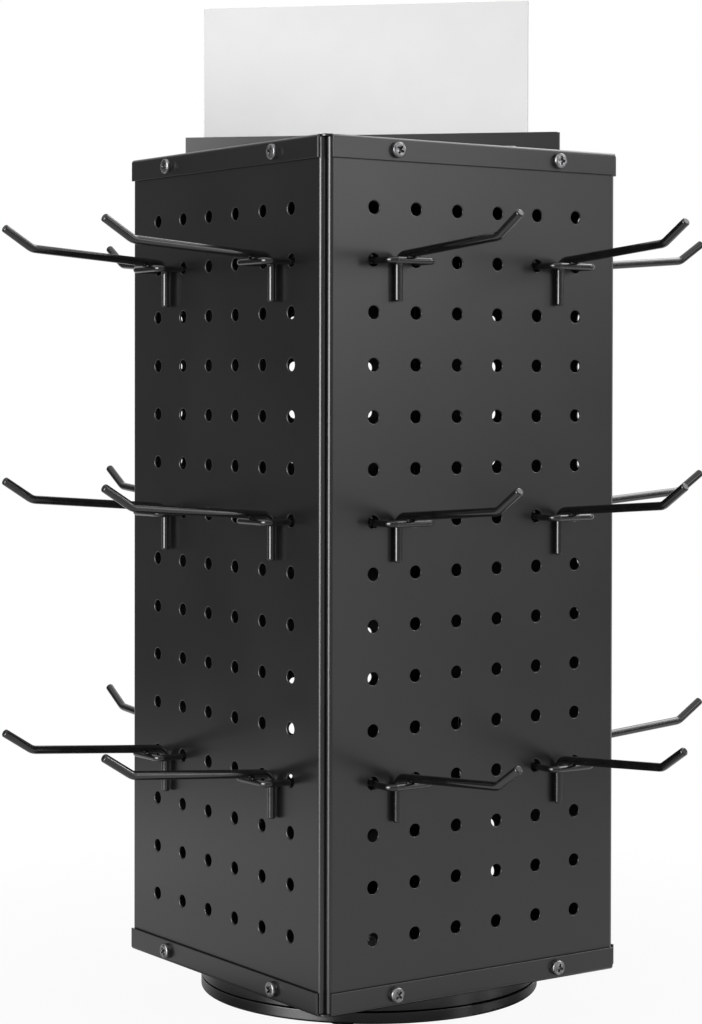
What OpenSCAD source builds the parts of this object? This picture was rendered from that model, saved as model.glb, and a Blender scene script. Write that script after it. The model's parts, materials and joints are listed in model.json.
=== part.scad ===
// Rotating counter-top display tower: four sheet-metal faces with peg holes, lift-off wire hooks,
// a tray-shaped cap at each end, a sign in a slot along the top, and a ball-bearing turntable.
// Millimetres. The origin is the middle of the footprint at floor level, with +Z up.
// The front face looks along -Y, and each face is numbered counter-clockwise from it.

/* [Faces] */
// Distance between the outer surfaces of opposite faces
tower_w = 185.2; // [180:0.1:230]
// Height of the tower over both caps
tower_h = 424; // [404:1:520]
// Thickness of the face sheet
face_t = 1.0; // [0.8:0.1:1.4]
// Inner radius of every sheet-metal bend
bend_in_r = 0.6; // [0.3:0.1:1.2]
// Side of the square notch between two neighbouring faces
corner_notch = 3.1; // [2.6:0.1:6]
// Depth of the long folded edge of a face
long_fold = 12; // [8:0.5:20]
// Gap where the short folded edge stops before the next face's long one
fold_gap = 0.3; // [0.1:0.1:0.5]

/* [Peg holes] */
// Centre distance of the peg holes
pitch = 25.4; // [22:0.1:26]
// Diameter of a peg hole
peg_hole_d = 6.35; // [6.1:0.05:8]
// Columns of peg holes on a face
columns = 6; // [4:2:6]
// Rows of peg holes on a face
rows = 15; // [12:1:15]

/* [Caps] */
// Thickness of the cap sheet
cap_t = 1.2; // [0.8:0.1:1.6]
// Clearance between a cap's rim and the faces inside it
cap_clear = 0.3; // [0.1:0.1:0.6]
// Height of a cap's rim
cap_rim_h = 11.3; // [10.5:0.1:16]
// How far each rim side stops short of the corner notch
rim_relief = 0.8; // [0.4:0.1:2]
// Radius of the cap's plate at its corners
cap_corner_r = 3.5; // [3:0.1:5.2]
// Distance of each rim screw from the middle of its side
rim_screw_x = 50.8; // [30:0.1:70]
// Distance of the rim screws from the cap's outer surface
rim_screw_z = 6; // [5.7:0.1:6.4]

/* [Screws and nuts] */
// Nominal diameter of the pan-head screws
screw_d = 4; // [3.5:0.1:4.2]
// Diameter of the screw holes in sheet metal
screw_hole_d = 4.4; // [4.3:0.1:5]
// Diameter of the pan head
head_d = 7.8; // [7.4:0.1:8.4]
// Height of the pan head
head_h = 2.7; // [2.2:0.1:3]
// Radius round the top edge of the pan head
head_edge_r = 1; // [0.8:0.1:1.8]
// Length of one arm pair of the cross recess
recess_l = 4.4; // [3.6:0.1:5]
// Width of an arm of the cross recess
recess_w = 1.2; // [0.9:0.1:1.5]
// Diameter of the cross recess's middle at the top of the head
recess_core_d = 2.6; // [1.8:0.1:3]
// Depth of the cross recess
recess_depth = 1.6; // [1.2:0.1:1.8]
// Distance between opposite flats of a nut
nut_flats = 7; // [6.5:0.1:7.4]
// Height of a nut
nut_h = 3.2; // [2.6:0.1:4]
// Length of the rim and sign holder screws under the head
screw_l = 8; // [7.5:0.5:12]
// Radial gap between a threaded shank and its hole
thread_clear = 0.05; // [0.03:0.01:0.1]

/* [Hooks] */
// Diameter of the prong wire
prong_d = 3.4; // [3:0.1:3.5]
// Diameter of the arm wire
arm_d = 4.3; // [4:0.1:5]
// Distance of the prong wire's cross-piece from the face
cross_out = 14.5; // [12:0.5:18]
// How far the prongs sit below the middle of their holes
prong_drop = 0.5; // [0.3:0.1:0.6]
// Height of the turned-up prong ends above the prong wire
prong_rise = 9; // [7:0.5:12]
// Gap between the back of the face and the turned-up prong ends
prong_clear = 0.6; // [0.4:0.1:1]
// Centreline radius of the turned-up prong ends
prong_bend_r = 2.6; // [2.2:0.1:3.2]
// Centreline radius at the ends of the cross-piece
cross_bend_r = 3.4; // [3:0.1:5]
// How deep the arm is welded into the cross-piece
weld_depth = 0.3; // [0.2:0.05:0.5]
// Upward slope of the arm, in degrees
arm_slope = 4.3; // [2:0.1:8]
// Distance from the face to where the arm turns up
arm_reach = 81; // [50:1:150]
// Angle of the turned-up arm end above the horizontal, in degrees
tip_angle = 32; // [20:1:60]
// Length of the turned-up arm end
tip_l = 18.9; // [14:0.1:30]
// Centreline radius where the arm turns up
tip_bend_r = 8; // [6:0.5:14]
// Gap between the hanging stem and the face
stem_clear = 0.45; // [0.3:0.05:0.8]
// How far the stem hangs below its row of holes
stem_drop = 20; // [16:0.5:24]
// Centreline radius where the stem turns into the arm
stem_bend_r = 6; // [5.5:0.1:8]
// How much a wire's radius draws in round its bends
bend_draw = 0.04; // [0.03:0.01:0.06]
// Row of the top hooks, counted from zero at the top
hook_first_row = 1; // [0:1:1]
// Rows from one hook to the next
hook_row_step = 5; // [4:1:5]

/* [Sign] */
// Width of the sign
sign_w = 173.5; // [120:0.5:200]
// Height of the sign
sign_h = 80.5; // [50:0.5:140]
// Thickness of the sign
sign_t = 1.5; // [1:0.1:3]
// How far the sign stands off the middle of its slot, along the slot
sign_shift = -3.3; // [-8:0.1:8]
// Gap between the sign and each side of its slot
sign_clear = 0.2; // [0.1:0.05:0.4]
// Length of the sign holder's two angles
holder_l = 200; // [170:1:240]
// Height of the angles
holder_h = 11.9; // [8:0.1:20]
// Thickness of the angles
holder_t = 1.2; // [0.8:0.1:1.6]
// Width of the foot of an angle
holder_foot = 15; // [13:0.5:20]
// Radius at the one rounded upper corner of an angle
holder_corner_r = 1.5; // [1:0.1:4]
// Distance of the holder screws from the middle of the slot, along it
holder_screw_x = 75; // [50:1:80]
// Distance of the holder screws from the upright leg
holder_screw_y = 8.4; // [7.5:0.1:8.6]

/* [Turntable] */
// Radius of both discs
disc_r = 88.9; // [86:0.1:100]
// Height of the rubber feet below the base disc
foot_out = 2.2; // [1.5:0.1:6]
// Thickness of the base disc
base_t = 5.9; // [5.6:0.1:8]
// Gap between the discs
disc_gap = 0.7; // [0.4:0.1:1]
// Thickness of the upper disc
upper_t = 6.7; // [6.4:0.1:9]
// Radius round the lower edge of the base disc
base_edge_r = 1.4; // [0.6:0.1:2.4]
// Radius of the other disc edges
disc_edge_r = 0.4; // [0.2:0.1:0.8]
// Diameter of a rubber foot
foot_d = 14; // [10:0.5:16]
// Distance of the feet from the axis
foot_at = 76; // [75:0.5:78]
// Chamfer round the sole of a foot
foot_chamfer = 0.5; // [0.3:0.1:1]
// Depth of the pocket that a foot is glued into
foot_pocket = 0.8; // [0.5:0.1:1.2]
// Clearance round a foot in its pocket
foot_clear = 0.1; // [0.05:0.05:0.2]

/* [Bearing] */
// Diameter of the bearing balls
ball_d = 6; // [5.4:0.1:6]
// Number of bearing balls
ball_count = 24; // [12:1:28]
// Radius of the ring of balls
ball_ring_r = 60; // [58:0.5:62]
// Clearance round a ball in its grooves and in the cage
ball_clear = 0.15; // [0.1:0.01:0.2]
// Thickness of the steel under each groove
race_floor = 1.3; // [1:0.1:1.4]
// Depth of the grooves in the race rings
groove_depth = 0.7; // [0.4:0.1:0.9]
// Width of the race rings
race_w = 12; // [10:0.5:12]
// Clearance round a race ring in its disc
race_clear = 0.1; // [0.05:0.05:0.2]
// Thickness of the ball cage
cage_t = 1.8; // [1.4:0.1:2.4]
// Width of the ball cage
cage_w = 10.8; // [9.6:0.1:10.9]

/* [Spindle] */
// Diameter of the spindle bolt
spindle_d = 6; // [5:0.1:6.4]
// Diameter of the bolt's flat head
spindle_head_d = 14; // [11:0.5:16]
// Height of the bolt's flat head
spindle_head_h = 2.2; // [1.8:0.1:2.6]
// How far the bolt's head lies inside the base disc
spindle_head_in = 0.2; // [0.1:0.1:0.5]
// Clearance round the bolt's head in the base disc
spindle_head_clear = 0.5; // [0.2:0.1:1]
// Running clearance between bolt and bush
bush_clear = 0.05; // [0.03:0.01:0.08]
// Wall of the bush
bush_wall = 2; // [1.5:0.1:3]
// Radius of the bush's flange
bush_flange_r = 9; // [7.5:0.1:10]
// Thickness of the bush's flange
bush_flange_t = 1.5; // [1:0.1:2]
// End float between the bush and the washer
end_float = 0.1; // [0.05:0.05:0.3]
// Radius of the washer
washer_r = 8; // [6.5:0.5:9]
// Thickness of the washer
washer_t = 1.6; // [1:0.1:2]
// Distance between opposite flats of the lock nut
lock_nut_flats = 10; // [9:0.5:11]
// Height of the lock nut's hexagon
lock_nut_hex_h = 4.6; // [4:0.1:6]
// Height of the lock nut's round collar
lock_nut_collar_h = 1.4; // [1:0.1:2]
// How far that collar lies inside the nut's flats
lock_nut_collar_in = 0.8; // [0.5:0.1:1.2]
// How far the bolt stands out of the lock nut
spindle_end = 1.5; // [0.5:0.1:3]
// Clearance of pieces that are pressed into each other
press_clear = 0.02; // [0.01:0.01:0.03]
// Radius of the opening in the bottom cap over the spindle
access_r = 17; // [12:0.5:24]
// Distance of the screws that hold the bottom cap to the upper disc
disc_screw_at = 42; // [34:0.5:44]
// Length of those screws under the head
disc_screw_l = 6.4; // [5:0.1:6.6]
// Radius of the moulded hub under the base disc
hub_r = 14; // [11:0.5:18]
// Outer radius of the hollow under the base disc
hollow_r = 50; // [40:0.5:51]
// Depth of the hollow under the base disc
hollow_depth = 2.4; // [1.5:0.1:3]
// Number of ribs in that hollow
rib_count = 8; // [4:1:12]
// Thickness of a rib
rib_t = 1.8; // [1.2:0.1:3]

/* [Hidden] */
FACES = ["front", "right", "back", "left"];
HOOK_ROWS = ["top", "middle", "bottom"];
SIDES = ["left", "right"];
function hook_name(face, row, side) = str("hook_", FACES[face], "_", HOOK_ROWS[row], "_", SIDES[side]);
$fn = 64;

// Levels above the floor
base_z = foot_out;
base_top_z = base_z + base_t;
upper_z = base_top_z + disc_gap;
tower_z = upper_z + upper_t;
tower_top_z = tower_z + tower_h;
grid_z = tower_z + tower_h / 2;
ball_z = base_top_z + disc_gap / 2;

// Plan sizes
face_half = tower_w / 2 - corner_notch;
face_h = tower_h - 2 * cap_t;
cap_half = tower_w / 2 + cap_clear + cap_t;
rim_half = face_half - rim_relief;
cap_bend_r = bend_in_r + cap_t;
hook_x = (columns / 2 - 1) * pitch;
slot_half = sign_t / 2 + sign_clear;

// Heights of the lower and upper race ring, measured from the middle of the balls
groove_r = ball_d / 2 + ball_clear;
race_top = groove_r - groove_depth;
race_bottom = groove_r + race_floor;

// Spindle stack
bush_r = spindle_d / 2 + bush_clear + bush_wall;
washer_z = tower_z + bush_flange_t + end_float;
lock_nut_z = washer_z + washer_t;
spindle_top_z = lock_nut_z + lock_nut_hex_h + lock_nut_collar_h + spindle_end;
spindle_head_z = base_z + spindle_head_in;
head_recess = spindle_head_in + spindle_head_h;

// Overlap of a cutting tool past the surface it cuts
cut = 1;

// Length of wire over which a bend runs on inside each straight run
bend_lap = 0.3;

// How far round the cross recesses stand, and how much further each next rim screw's does
top_recess_turn = 73;
bottom_recess_turn = 60;
holder_recess_turn = 35;
disc_recess_turn = 0;
rim_turn_step = 13;

black_sheet = [0.2, 0.2, 0.2];
black_wire = [0.1, 0.1, 0.1];
black_plastic = [0.14, 0.14, 0.14];
steel = [0.62, 0.62, 0.64];
nickel = [0.5, 0.5, 0.5];
nylon = [0.9, 0.89, 0.85];
rubber = [0.06, 0.06, 0.06];
card = [0.9, 0.9, 0.9];

function unit(v) = v / norm(v);

// Height of the given row of peg holes
function row_z(row) = grid_z + ((rows - 1) / 2 - row) * pitch;

// Puts children on a face: x runs along the face to the viewer's right, -y stands out of it
module on_face(face) {
    rotate([0, 0, 90 * face]) translate([0, -tower_w / 2, 0]) children();
}

// Puts children at the slot of the sign: x runs along the slot, -y faces the front left corner
module on_slot() {
    rotate([0, 0, -45]) translate([0, 0, tower_top_z]) children();
}

// Lays children, drawn along +Z, along the given direction from the given point
module along(start, direction) {
    translate(start) rotate([0, acos(direction[2]), atan2(direction[1], direction[0])]) children();
}

// Round bend of a wire that turns from direction a to direction b at the given corner
module wire_bend(corner, a, b, bend_r, wire_d) {
    turn = acos(a * b);
    lap = bend_lap / bend_r * 180 / PI;
    inward = unit(b - (a * b) * a);
    centre = corner - bend_r * tan(turn / 2) * a + bend_r * inward;
    x = -inward;
    z = cross(x, a);
    multmatrix([
        [x[0], a[0], z[0], centre[0]],
        [x[1], a[1], z[1], centre[1]],
        [x[2], a[2], z[2], centre[2]],
        [0, 0, 0, 1]
    ])
        rotate_extrude(angle = turn + 2 * lap, start = -lap)
            translate([bend_r, 0]) circle(d = wire_d - 2 * bend_draw);
}

// Round wire through the given corners, with one bend radius for each inner corner
module bent_wire(corners, wire_d, bend_radii) {
    last = len(corners) - 1;
    run = [for (i = [0:last - 1]) unit(corners[i + 1] - corners[i])];
    trim = [
        for (i = [0:last])
            i == 0 || i == last ? 0 : bend_radii[i - 1] * tan(acos(run[i - 1] * run[i]) / 2)
    ];
    for (i = [0:last - 1])
        along(corners[i] + trim[i] * run[i], run[i])
            cylinder(d = wire_d, h = norm(corners[i + 1] - corners[i]) - trim[i] - trim[i + 1]);
    for (i = [1:last - 1])
        wire_bend(corners[i], run[i - 1], run[i], bend_radii[i - 1], wire_d);
}

// Section of a sheet-metal bend, in the first quadrant turned by the given angle
module bend_section(sheet_t, angle) {
    rotate(angle)
        intersection() {
            difference() {
                circle(bend_in_r + sheet_t);
                circle(bend_in_r);
            }
            square(bend_in_r + sheet_t);
        }
}

// Half section of a disc with rounded outer edges
module disc_section(r, t, low_r, high_r) {
    square([r - low_r, t / 2]);
    translate([0, t / 2]) square([r - high_r, t / 2]);
    translate([0, low_r]) square([r, t - low_r - high_r]);
    translate([r - low_r, low_r]) circle(low_r);
    translate([r - high_r, t - high_r]) circle(high_r);
}

// Flat ring, its wall centred on the given radius
module flat_ring(middle_r, wall, t) {
    difference() {
        cylinder(r = middle_r + wall / 2, h = t);
        translate([0, 0, -cut]) cylinder(r = middle_r - wall / 2, h = t + 2 * cut);
    }
}

// Pan-head screw with a cross recess: the head stands up from z = 0 and the shank hangs below
module pan_screw(shank_l, turned) {
    difference() {
        rotate_extrude() {
            square([head_d / 2 - head_edge_r, head_h]);
            square([head_d / 2, head_h - head_edge_r]);
            translate([head_d / 2 - head_edge_r, head_h - head_edge_r])
                intersection() {
                    circle(head_edge_r);
                    square(head_edge_r);
                }
        }
        translate([0, 0, head_h - recess_depth]) rotate([0, 0, turned]) cross_recess();
    }
    translate([0, 0, -shank_l]) cylinder(d = screw_d, h = shank_l);
}

// Cross recess, cut from its bottom upwards: two slots and a middle that widens to the top of the head
module cross_recess() {
    widening = (recess_core_d - recess_w) / recess_depth;
    for (arm = [0, 90])
        rotate([0, 0, arm])
            translate([-recess_l / 2, -recess_w / 2, 0]) cube([recess_l, recess_w, recess_depth + cut]);
    cylinder(d1 = recess_w, d2 = recess_core_d + widening * cut, h = recess_depth + cut);
}

// Hexagon nut standing on z = 0
module hex_nut(flats, h, bore_r) {
    difference() {
        cylinder(d = flats / cos(30), h = h, $fn = 6);
        translate([0, 0, -cut]) cylinder(r = bore_r, h = h + 2 * cut);
    }
}

// Places of the two screws on each side of a cap, at the given height, heads facing out
module at_rim_screws(z) {
    for (face = [0:3], side = [-1, 1])
        rotate([0, 0, 90 * face])
            translate([side * rim_screw_x, -cap_half, z])
                rotate([90, 0, 0]) rotate([0, 0, rim_turn_step * (2 * face + side)]) children();
}

// Base disc: a moulding with a ribbed hollow and a hub underneath and a seat for the lower race
module base_disc() {
    color(black_plastic)
        difference() {
            translate([0, 0, base_z]) rotate_extrude() disc_section(disc_r, base_t, base_edge_r, disc_edge_r);
            translate([0, 0, ball_z - race_bottom])
                flat_ring(ball_ring_r, race_w + 2 * race_clear, race_bottom + cut);
            translate([0, 0, base_z - cut]) base_hollow();
            translate([0, 0, base_z - cut])
                cylinder(r = spindle_head_d / 2 + spindle_head_clear, h = head_recess + cut);
            translate([0, 0, base_z]) cylinder(r = spindle_d / 2 + press_clear, h = base_t + cut);
            at_feet(base_z - cut) cylinder(d = foot_d + 2 * foot_clear, h = foot_pocket + cut);
        }
}

// Hollow under the base disc between hub and race seat, with the ribs left standing
module base_hollow() {
    difference() {
        cylinder(r = hollow_r, h = hollow_depth + cut);
        translate([0, 0, -cut]) cylinder(r = hub_r, h = hollow_depth + 3 * cut);
        for (i = [0:rib_count - 1])
            rotate([0, 0, 360 / rib_count * i])
                translate([0, -rib_t / 2, -cut]) cube([hollow_r + cut, rib_t, hollow_depth + 3 * cut]);
    }
}

module at_feet(z) {
    for (i = [0:3])
        rotate([0, 0, 45 + 90 * i]) translate([foot_at, 0, z]) children();
}

module rubber_feet() {
    foot_h = foot_out + foot_pocket;
    color(rubber)
        at_feet(0) {
            cylinder(d1 = foot_d - 2 * foot_chamfer, d2 = foot_d, h = foot_chamfer);
            translate([0, 0, foot_chamfer]) cylinder(d = foot_d, h = foot_h - foot_chamfer);
        }
}

// Steel ring with a ball groove in its upper surface
module race_ring() {
    color(steel)
        difference() {
            translate([0, 0, -race_bottom]) flat_ring(ball_ring_r, race_w, race_bottom - race_top);
            rotate_extrude() translate([ball_ring_r, 0]) circle(groove_r);
        }
}

module lower_race() {
    translate([0, 0, ball_z]) race_ring();
}

module upper_race() {
    translate([0, 0, ball_z]) mirror([0, 0, 1]) race_ring();
}

module at_balls() {
    for (i = [0:ball_count - 1])
        rotate([0, 0, 360 / ball_count * i]) translate([ball_ring_r, 0, ball_z]) children();
}

module ball_cage() {
    color(nylon)
        difference() {
            translate([0, 0, ball_z - cage_t / 2]) flat_ring(ball_ring_r, cage_w, cage_t);
            at_balls() translate([0, 0, -cage_t / 2 - cut]) cylinder(r = groove_r, h = cage_t + 2 * cut);
        }
}

module bearing_balls() {
    color(steel) at_balls() sphere(d = ball_d);
}

// Bolt that the tower turns on, its flat head sunk into the underside of the base disc
module spindle_bolt() {
    color(steel)
        translate([0, 0, spindle_head_z]) {
            cylinder(d = spindle_head_d, h = spindle_head_h);
            cylinder(d = spindle_d, h = spindle_top_z - spindle_head_z);
        }
}

module spindle_washer() {
    color(steel)
        translate([0, 0, washer_z])
            difference() {
                cylinder(r = washer_r, h = washer_t);
                translate([0, 0, -cut]) cylinder(r = spindle_d / 2 + thread_clear, h = washer_t + 2 * cut);
            }
}

module spindle_lock_nut() {
    bore_r = spindle_d / 2 + thread_clear;
    collar_h = lock_nut_hex_h + lock_nut_collar_h;
    color(steel)
        translate([0, 0, lock_nut_z]) {
            hex_nut(lock_nut_flats, lock_nut_hex_h, bore_r);
            difference() {
                cylinder(r = lock_nut_flats / 2 - lock_nut_collar_in, h = collar_h);
                translate([0, 0, -cut]) cylinder(r = bore_r, h = collar_h + 2 * cut);
            }
        }
}

// Nylon bush pressed into the upper disc, its flange on top of the disc
module spindle_bush() {
    color(nylon)
        difference() {
            union() {
                translate([0, 0, upper_z]) cylinder(r = bush_r, h = upper_t + bush_flange_t);
                translate([0, 0, tower_z]) cylinder(r = bush_flange_r, h = bush_flange_t);
            }
            translate([0, 0, upper_z - cut])
                cylinder(r = spindle_d / 2 + bush_clear, h = upper_t + bush_flange_t + 2 * cut);
        }
}

module at_disc_screws(z) {
    for (i = [0:3])
        rotate([0, 0, 45 + 90 * i]) translate([disc_screw_at, 0, z]) children();
}

// Upper disc: turns with the tower and carries the bush and the upper race
module upper_disc() {
    screw_in = disc_screw_l - cap_t;
    color(black_plastic)
        difference() {
            translate([0, 0, upper_z]) rotate_extrude() disc_section(disc_r, upper_t, disc_edge_r, disc_edge_r);
            translate([0, 0, upper_z - cut])
                flat_ring(ball_ring_r, race_w + 2 * race_clear, ball_z + race_bottom - upper_z + cut);
            translate([0, 0, upper_z - cut]) cylinder(r = bush_r + press_clear, h = upper_t + 2 * cut);
            at_disc_screws(tower_z - screw_in)
                cylinder(r = screw_d / 2 + thread_clear, h = screw_in + cut);
        }
}

module disc_screws() {
    color(nickel) at_disc_screws(tower_z + cap_t) pan_screw(disc_screw_l, disc_recess_turn);
}

// Plan of a cap's flat plate: it stops where the rim bends start and keeps its own round corners
module cap_plate_plan() {
    flat_half = cap_half - cap_bend_r;
    square([2 * flat_half, 2 * rim_half], center = true);
    square([2 * rim_half, 2 * flat_half], center = true);
    for (x = [-1, 1], y = [-1, 1])
        translate([x * rim_half, y * rim_half])
            intersection() {
                circle(cap_corner_r);
                translate([x * cap_corner_r / 2, y * cap_corner_r / 2]) square(cap_corner_r, center = true);
            }
}

// Section of a cap's rim with its bend: x points outwards, y points from the plate to the free edge
module rim_section() {
    translate([cap_half - cap_bend_r, cap_bend_r]) bend_section(cap_t, 270);
    translate([cap_half - cap_t, cap_bend_r]) square([cap_t, cap_rim_h - cap_bend_r]);
}

// Cap with its plate on z = 0 and its rim standing up
module cap() {
    difference() {
        union() {
            linear_extrude(cap_t) cap_plate_plan();
            for (side = [0:3])
                rotate([90, 0, 90 * side])
                    linear_extrude(2 * rim_half, center = true) rim_section();
        }
        at_rim_screws(rim_screw_z)
            translate([0, 0, -cap_t - cut]) cylinder(d = screw_hole_d, h = cap_t + 2 * cut);
    }
}

module bottom_cap() {
    color(black_sheet)
        difference() {
            translate([0, 0, tower_z]) cap();
            translate([0, 0, tower_z - cut]) cylinder(r = access_r, h = cap_t + 2 * cut);
            at_disc_screws(tower_z - cut) cylinder(d = screw_hole_d, h = cap_t + 2 * cut);
        }
}

module top_cap() {
    color(black_sheet)
        difference() {
            translate([0, 0, tower_top_z]) mirror([0, 0, 1]) cap();
            at_holder_screws(-cap_t - cut) cylinder(d = screw_hole_d, h = cap_t + 2 * cut);
        }
}

// Section of a face: the sheet and its long and short folded edges, seen from above
module face_section() {
    fold_r = bend_in_r + face_t;
    translate([-face_half + fold_r, 0]) square([2 * (face_half - fold_r), face_t]);
    translate([-face_half + fold_r, fold_r]) bend_section(face_t, 180);
    translate([-face_half, fold_r]) square([face_t, long_fold - fold_r]);
    translate([face_half - fold_r, fold_r]) bend_section(face_t, 270);
    translate([face_half - face_t, fold_r]) square([face_t, corner_notch - fold_gap - fold_r]);
}

// One of the four faces, standing between the plates of the caps
module tower_face(face) {
    color(black_sheet)
        difference() {
            on_face(face) translate([0, 0, tower_z + cap_t]) linear_extrude(face_h) face_section();
            on_face(face)
                for (column = [0:columns - 1], row = [0:rows - 1])
                    translate([(column - (columns - 1) / 2) * pitch, 0, row_z(row)])
                        through_face(peg_hole_d);
            on_face(face)
                for (side = [-1, 1], z = [tower_z + rim_screw_z, tower_top_z - rim_screw_z])
                    translate([side * rim_screw_x, 0, z]) through_face(screw_hole_d);
        }
}

module through_face(d) {
    translate([0, face_t + cut, 0]) rotate([90, 0, 0]) cylinder(d = d, h = face_t + 2 * cut);
}

module rim_screws(z, turned) {
    color(nickel) at_rim_screws(z) pan_screw(screw_l, turned);
}

// Nuts behind the faces, on the rim screws
module rim_nuts(z) {
    behind = cap_half - tower_w / 2 + face_t + nut_h;
    color(nickel)
        at_rim_screws(z)
            translate([0, 0, -behind]) hex_nut(nut_flats, nut_h, screw_d / 2 + thread_clear);
}

module at_holder_screws(z) {
    y = slot_half + holder_t + holder_screw_y;
    on_slot()
        for (x = [-1, 1], side = [-1, 1])
            translate([x * holder_screw_x, side * y, z]) children();
}

// Section of one angle of the sign holder: x points away from the slot, y points up
module angle_section() {
    bend_r = bend_in_r + holder_t;
    translate([slot_half, bend_r]) square([holder_t, holder_h - bend_r]);
    translate([slot_half + bend_r, bend_r]) bend_section(holder_t, 180);
    translate([slot_half + bend_r, 0]) square([holder_foot - bend_r, holder_t]);
}

// Outline of an angle seen from its own side of the slot, with one upper corner rounded
module angle_outline() {
    translate([-holder_l / 2, 0]) square([holder_l, holder_h - holder_corner_r]);
    translate([-holder_l / 2, 0]) square([holder_l - holder_corner_r, holder_h]);
    translate([holder_l / 2 - holder_corner_r, holder_h - holder_corner_r]) circle(holder_corner_r);
}

// Angle on one side of the slot: turned is 0 for the front one and 180 for the back one
module sign_angle(turned) {
    depth = slot_half + holder_foot + cut;
    color(black_sheet)
        difference() {
            on_slot()
                rotate([0, 0, turned])
                    intersection() {
                        rotate([90, 0, 90])
                            linear_extrude(holder_l, center = true) mirror([1, 0]) angle_section();
                        rotate([90, 0, 0]) linear_extrude(2 * depth, center = true) angle_outline();
                    }
            at_holder_screws(-cut) cylinder(d = screw_hole_d, h = holder_t + 2 * cut);
        }
}

module sign_angle_screws() {
    color(nickel) at_holder_screws(holder_t) pan_screw(screw_l, holder_recess_turn);
}

module sign_angle_nuts() {
    color(nickel)
        at_holder_screws(-cap_t - nut_h) hex_nut(nut_flats, nut_h, screw_d / 2 + thread_clear);
}

// Plain sign standing on the top cap between the two angles
module sign_card() {
    color(card)
        on_slot()
            translate([sign_shift - sign_w / 2, -sign_t / 2, 0]) cube([sign_w, sign_t, sign_h]);
}

// Two-prong hook: a prong wire with turned-up ends behind the face, and an arm welded on top of it
module peg_hook() {
    prong_in = face_t + prong_clear + prong_d / 2;
    arm_over = (prong_d + arm_d) / 2 - weld_depth;
    stem_y = arm_d / 2 + stem_clear;
    arm_turn = [0, -arm_reach, arm_over + (arm_reach - cross_out) * tan(arm_slope)];
    color(black_wire)
        translate([0, 0, -prong_drop]) {
            bent_wire(
                [
                    [-pitch / 2, prong_in, prong_rise],
                    [-pitch / 2, prong_in, 0],
                    [-pitch / 2, -cross_out, 0],
                    [pitch / 2, -cross_out, 0],
                    [pitch / 2, prong_in, 0],
                    [pitch / 2, prong_in, prong_rise]
                ],
                prong_d, [prong_bend_r, cross_bend_r, cross_bend_r, prong_bend_r]
            );
            bent_wire(
                [
                    [0, -stem_y, prong_drop - stem_drop],
                    [0, -stem_y, arm_over + (stem_y - cross_out) * tan(arm_slope)],
                    arm_turn,
                    arm_turn + tip_l * [0, -cos(tip_angle), sin(tip_angle)]
                ],
                arm_d, [stem_bend_r, tip_bend_r]
            );
        }
}

module hook_at(face, row, side) {
    on_face(face)
        translate([(2 * side - 1) * hook_x, 0, row_z(hook_first_row + row * hook_row_step)]) peg_hook();
}

base_disc();
rubber_feet();
lower_race();
spindle_bolt();
spindle_washer();
spindle_lock_nut();
ball_cage();
bearing_balls();
upper_disc();
upper_race();
spindle_bush();
disc_screws();
bottom_cap();
top_cap();
tower_face(0);  // face_front
tower_face(1);  // face_right
tower_face(2);  // face_back
tower_face(3);  // face_left
rim_screws(tower_z + rim_screw_z, bottom_recess_turn);  // bottom_cap_screws
rim_nuts(tower_z + rim_screw_z);  // bottom_cap_nuts
rim_screws(tower_top_z - rim_screw_z, top_recess_turn);  // top_cap_screws
rim_nuts(tower_top_z - rim_screw_z);  // top_cap_nuts
sign_angle(0);  // sign_angle_front
sign_angle(180);  // sign_angle_back
sign_angle_screws();
sign_angle_nuts();
sign_card();
for (face = [0:3], row = [0:2], side = [0:1])
    hook_at(face, row, side);
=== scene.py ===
"""Looks of a rotating counter-top display stand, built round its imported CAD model."""

import json
import math
import random

import bpy
from mathutils import Matrix, Vector
from mathutils.geometry import delaunay_2d_cdt


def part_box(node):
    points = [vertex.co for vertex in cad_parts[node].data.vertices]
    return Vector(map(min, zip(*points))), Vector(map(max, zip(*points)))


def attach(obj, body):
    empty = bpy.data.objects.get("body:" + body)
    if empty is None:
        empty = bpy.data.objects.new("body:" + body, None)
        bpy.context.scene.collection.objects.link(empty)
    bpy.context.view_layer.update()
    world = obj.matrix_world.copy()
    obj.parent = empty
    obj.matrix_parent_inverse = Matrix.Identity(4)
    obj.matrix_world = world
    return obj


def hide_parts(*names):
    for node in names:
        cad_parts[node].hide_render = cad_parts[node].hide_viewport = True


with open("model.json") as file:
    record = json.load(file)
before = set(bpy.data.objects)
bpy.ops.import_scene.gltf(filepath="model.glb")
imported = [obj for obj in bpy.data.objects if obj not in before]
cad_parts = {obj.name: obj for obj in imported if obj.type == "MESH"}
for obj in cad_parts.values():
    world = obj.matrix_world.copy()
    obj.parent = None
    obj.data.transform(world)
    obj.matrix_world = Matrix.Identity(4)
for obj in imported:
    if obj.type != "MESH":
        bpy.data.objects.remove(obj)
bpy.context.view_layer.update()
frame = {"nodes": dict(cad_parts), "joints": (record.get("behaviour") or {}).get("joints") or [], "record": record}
NODES = frame["nodes"]
FACES = ("front", "right", "back", "left")

# Height of the photograph in pixels, and the camera fitted to the peg holes in it
IMAGE_H = 1024
SENSOR = 36.0
FOCAL_PX = 2499.4
OPTICAL_AXIS_V = 420.0
CAMERA_PLACE = Vector((-0.76646, -1.07865, 0.31922))
CAMERA_AZIMUTH = math.radians(-34.960)
CAMERA_PITCH = math.radians(0.801)
CAMERA_ROLL = math.radians(0.098)
CLIP_NEAR = 0.05
CLIP_FAR = 50

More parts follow.
